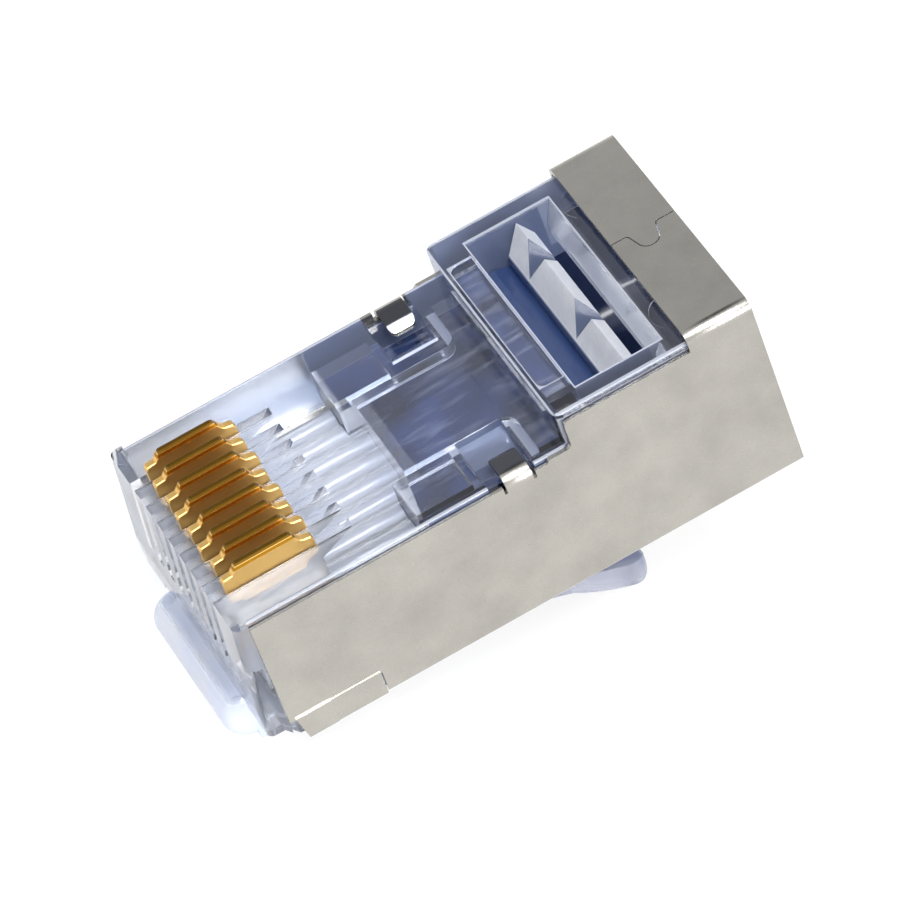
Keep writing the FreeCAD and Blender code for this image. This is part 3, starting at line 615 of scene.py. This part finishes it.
def gold_plate(looks):
    """Hard gold plate on stamped bronze: satin flanks with fine upright stamping lines.

    The coined tops are painted darker in bands by height, as painted shade on the crests and the facets,
    with a bright rim of plain gold between them as a painted highlight.
    """
    material, tree, output = new_material("gold_plate_on_bronze")
    place = level_position(tree)
    stretched = add(
        tree, "ShaderNodeMapping",
        {"Vector": place, "Scale": [1 / size for size in STAMPING_LINES_MM]}, vector_type="POINT",
    )
    lines = add(
        tree, "ShaderNodeTexNoise",
        {"Vector": stretched.outputs[0], "Scale": 1.0, "Detail": 3.0, "Roughness": 0.6},
    )
    bump = add(
        tree, "ShaderNodeBump", {"Height": lines.outputs[0], "Strength": 0.12, "Distance": 0.01 * MM}
    )
    finish = (looks.gold, 0, looks.gold_roughness)
    high = (BLADES_TO, BLADES_SIDE, BLADES_TOP)
    # Bands by height: painted shade on the facets, a painted highlight of plain gold in the rim, painted
    # shade on the crests.
    for foot, soft, colour, roughness in (
        (FACET_SHADE_FOOT, 0.015, looks.facet_shade, 0.22),
        (RIM_HIGHLIGHT_FOOT, 0.01, looks.gold, 0.2),
        (CREST_SHADE_FOOT, 0.01, looks.crest_shade, 0.35),
    ):
        band = inside(tree, place, (BLADES_FROM, -BLADES_SIDE, foot), high, soft)
        finish = lay(tree, finish, band, colour, scatter=0, roughness=roughness)
    body = add(
        tree, "ShaderNodeBsdfPrincipled",
        {
            "Base Color": finish[0], "Metallic": 1.0, "Roughness": finish[2],
            "Normal": bump.outputs[0],
        },
    )
    tree.links.new(body.outputs[0], output.inputs["Surface"])
    return material


def studio_white(looks):
    """Plain white paper of the floor and the backdrop.

    The camera, mirrors and clear parts see most of it as even white, and the rest takes shadows.
    """
    material, tree, output = new_material("studio_paper_white")
    paper = add(tree, "ShaderNodeBsdfDiffuse", {"Color": looks.floor})
    glow = add(tree, "ShaderNodeEmission", {"Color": linear("#FFFFFF"), "Strength": 1.0})
    path = add(tree, "ShaderNodeLightPath")
    kinds = ("Camera", "Glossy", "Transmission")
    seen = union(tree, [path.outputs[f"Is {kind} Ray"] for kind in kinds])
    share = add(tree, "ShaderNodeMath", {0: seen, 1: PAPER_GLOW}, operation="MULTIPLY").outputs[0]
    mixed = add(tree, "ShaderNodeMixShader", {0: share, 1: paper.outputs[0], 2: glow.outputs[0]})
    tree.links.new(mixed.outputs[0], output.inputs["Surface"])
    return material


def room(tree, looks):
    """Pale room with a black card above and behind the plug, for contrast in its bright tops.

    Within the card the cosine of the angle to its middle runs from 1 down to the card's edge.
    """
    direction = add(tree, "ShaderNodeTexCoord").outputs["Generated"]
    cosine = add(
        tree, "ShaderNodeVectorMath", {0: direction, 1: CARD_DIRECTION}, operation="DOT_PRODUCT"
    )
    card = add(
        tree, "ShaderNodeMapRange",
        {"Value": cosine.outputs["Value"], "From Min": CARD_EDGE, "From Max": CARD_FULL},
        interpolation_type="SMOOTHSTEP",
    )
    shade = add(
        tree, "ShaderNodeMix", {0: card.outputs[0], 6: looks.surround, 7: looks.card}, data_type="RGBA"
    )
    tree.links.new(shade.outputs[2], tree.nodes["Background"].inputs[0])


class PLUG_OT_moulding(bpy.types.Operator):
    """Finish the clear housing and its latch"""

    bl_idname = "modular_plug.moulding"
    bl_label = "Clear moulding"

    def execute(self, context):
        clear = clear_polycarbonate(context.scene.plug_moulding)
        for name in ("housing", "latch"):
            soften_edges(dress(name, clear), MOULDED_EDGE_MM)
        return {"FINISHED"}


class PLUG_OT_relief_bar(bpy.types.Operator):
    """Finish the frosted strain-relief bar"""

    bl_idname = "modular_plug.relief_bar"
    bl_label = "Strain-relief bar"

    def execute(self, context):
        frosted = frosted_polycarbonate(context.scene.plug_moulding)
        soften_edges(dress("strain_relief_bar", frosted), BAR_EDGE_MM)
        return {"FINISHED"}


class PLUG_OT_shield(bpy.types.Operator):
    """Finish the folded shield"""

    bl_idname = "modular_plug.shield"
    bl_label = "Folded shield"

    def execute(self, context):
        nickel = satin_nickel(context.scene.plug_metal)
        soften_edges(dress("shield", nickel), SHEET_EDGE_MM)
        return {"FINISHED"}


class PLUG_OT_contacts(bpy.types.Operator):
    """Finish the eight plated contacts"""

    bl_idname = "modular_plug.contacts"
    bl_label = "Contacts"

    def execute(self, context):
        gold = gold_plate(context.scene.plug_metal)
        for name in CONTACTS:
            dress(name, gold)
        return {"FINISHED"}


def paper_sweep(radius, height, foot, floor_z):
    """Floor and backdrop in one surface of revolution, closed by a fan round the middle.

    Profile: flat to the foot of the bend, a quarter circle of radius foot, then straight up. The
    place of a point is (r cos a, r sin a, floor + h) for each profile point (r, h) and angle a.
    """
    angle = np.linspace(0, np.pi / 2, PAPER_BEND_POINTS)
    r = np.concatenate(([radius / 2], radius - foot + foot * np.sin(angle), [radius]))
    h = np.concatenate(([0.0], foot - foot * np.cos(angle), [height]))
    turn = np.linspace(0, 2 * np.pi, PAPER_SIDES, endpoint=False)
    rr, aa = np.meshgrid(r, turn, indexing="ij")
    hh = np.repeat(h[:, None], PAPER_SIDES, axis=1)
    ring = np.stack((rr * np.cos(aa), rr * np.sin(aa), hh + floor_z), axis=-1).reshape(-1, 3)
    points = np.vstack((ring, [[0.0, 0.0, floor_z]]))
    rows, columns = len(r), PAPER_SIDES
    i, j = np.meshgrid(np.arange(rows - 1), np.arange(columns), indexing="ij")
    i, j = i.ravel(), j.ravel()
    k = (j + 1) % columns
    below, above = i * columns, (i + 1) * columns
    quads = np.stack((below + j, above + j, above + k, below + k), axis=1)
    first = np.arange(columns)
    fan = np.stack((np.full(columns, len(points) - 1), first, (first + 1) % columns), axis=1)
    mesh = bpy.data.meshes.new("paper")
    mesh.from_pydata(points.tolist(), [], quads.tolist() + fan.tolist())
    mesh.polygons.foreach_set("use_smooth", np.ones(len(mesh.polygons), dtype=bool))
    return mesh


def add_lamp(name, place, size, power):
    """Rectangular soft white lamp at a place, turned towards the plug."""
    data = bpy.data.lights.new(name, "AREA")
    data.shape = "RECTANGLE"
    data.size, data.size_y = size
    data.energy = power
    lamp = bpy.data.objects.new(name, data)
    lamp.location = place
    towards = Vector(PLUG_MIDDLE) - Vector(place)
    lamp.rotation_euler = towards.to_track_quat("-Z", "Y").to_euler()
    bpy.context.scene.collection.objects.link(lamp)


def add_camera():
    """Camera at its place in the level drawing, leant to the rest with the plug."""
    data = bpy.data.cameras.new("camera")
    data.sensor_width = SENSOR_MM
    data.lens = LENS_MM
    data.clip_start = 0.01
    camera = bpy.data.objects.new("camera", data)
    up = CAMERA_RIGHT.cross(CAMERA_FORWARD).normalized()
    right = CAMERA_FORWARD.cross(up).normalized()
    level_turn = Matrix((right, up, -CAMERA_FORWARD)).transposed()
    to_rest = Matrix.Rotation(-LEAN, 3, "Y")
    from_root = Vector(CAMERA_LEVEL_MM) - Vector(ROOT_LEVEL_MM)
    place = Vector(ROOT_AT_REST) + to_rest @ from_root * MM
    camera.matrix_world = Matrix.Translation(place) @ (to_rest @ level_turn).to_4x4()
    bpy.context.scene.collection.objects.link(camera)
    bpy.context.scene.camera = camera


class PLUG_OT_stage(bpy.types.Operator):
    """Lay the paper, hang the lamps and set the camera"""

    bl_idname = "modular_plug.stage"
    bl_label = "Studio"

    def execute(self, context):
        scene = context.scene
        looks = scene.plug_studio
        floor_z = SOLID_BOUNDS[0][2]
        paper = bpy.data.objects.new(
            "paper", paper_sweep(looks.floor_size, looks.backdrop_height, PAPER_BEND, floor_z)
        )
        paper.data.materials.append(studio_white(looks))
        scene.collection.objects.link(paper)

        world = bpy.data.worlds.new("room")
        world.use_nodes = True
        room(world.node_tree, looks)
        scene.world = world

        for name, (place, size, power) in LAMPS.items():
            add_lamp(name, place, size, power)
        add_camera()
        scene.view_settings.view_transform = "Standard"
        # Light turns many corners inside clear plastic before it leaves.
        scene.cycles.max_bounces = 12
        scene.cycles.glossy_bounces = 8
        scene.cycles.transmission_bounces = 12
        return {"FINISHED"}


class PLUG_PT_panel(bpy.types.Panel):
    """Lists the plug's finishes and the studio"""

    bl_idname = "PLUG_PT_panel"
    bl_label = "Modular plug"
    bl_space_type = "VIEW_3D"
    bl_region_type = "UI"
    bl_category = "Modular plug"

    def draw(self, context):
        layout = self.layout
        for operator in OPERATORS:
            layout.operator(operator.bl_idname)
        for looks in (context.scene.plug_moulding, context.scene.plug_metal, context.scene.plug_studio):
            for name in looks.__annotations__:
                layout.prop(looks, name)


GROUPS = {"plug_moulding": MouldingLooks, "plug_metal": MetalLooks, "plug_studio": StudioLooks}
OPERATORS = (PLUG_OT_moulding, PLUG_OT_relief_bar, PLUG_OT_shield, PLUG_OT_contacts, PLUG_OT_stage)


def register():
    for name, group in GROUPS.items():
        bpy.utils.register_class(group)
        setattr(bpy.types.Scene, name, bpy.props.PointerProperty(type=group))
    for operator in OPERATORS:
        bpy.utils.register_class(operator)
    bpy.utils.register_class(PLUG_PT_panel)


def unregister():
    bpy.utils.unregister_class(PLUG_PT_panel)
    for operator in reversed(OPERATORS):
        bpy.utils.unregister_class(operator)
    for name, group in reversed(list(GROUPS.items())):
        delattr(bpy.types.Scene, name)
        bpy.utils.unregister_class(group)


def main():
    register()
    bpy.ops.modular_plug.moulding()
    bpy.ops.modular_plug.relief_bar()
    bpy.ops.modular_plug.shield()
    bpy.ops.modular_plug.contacts()
    bpy.ops.modular_plug.stage()


if __name__ == "__main__":
    main()
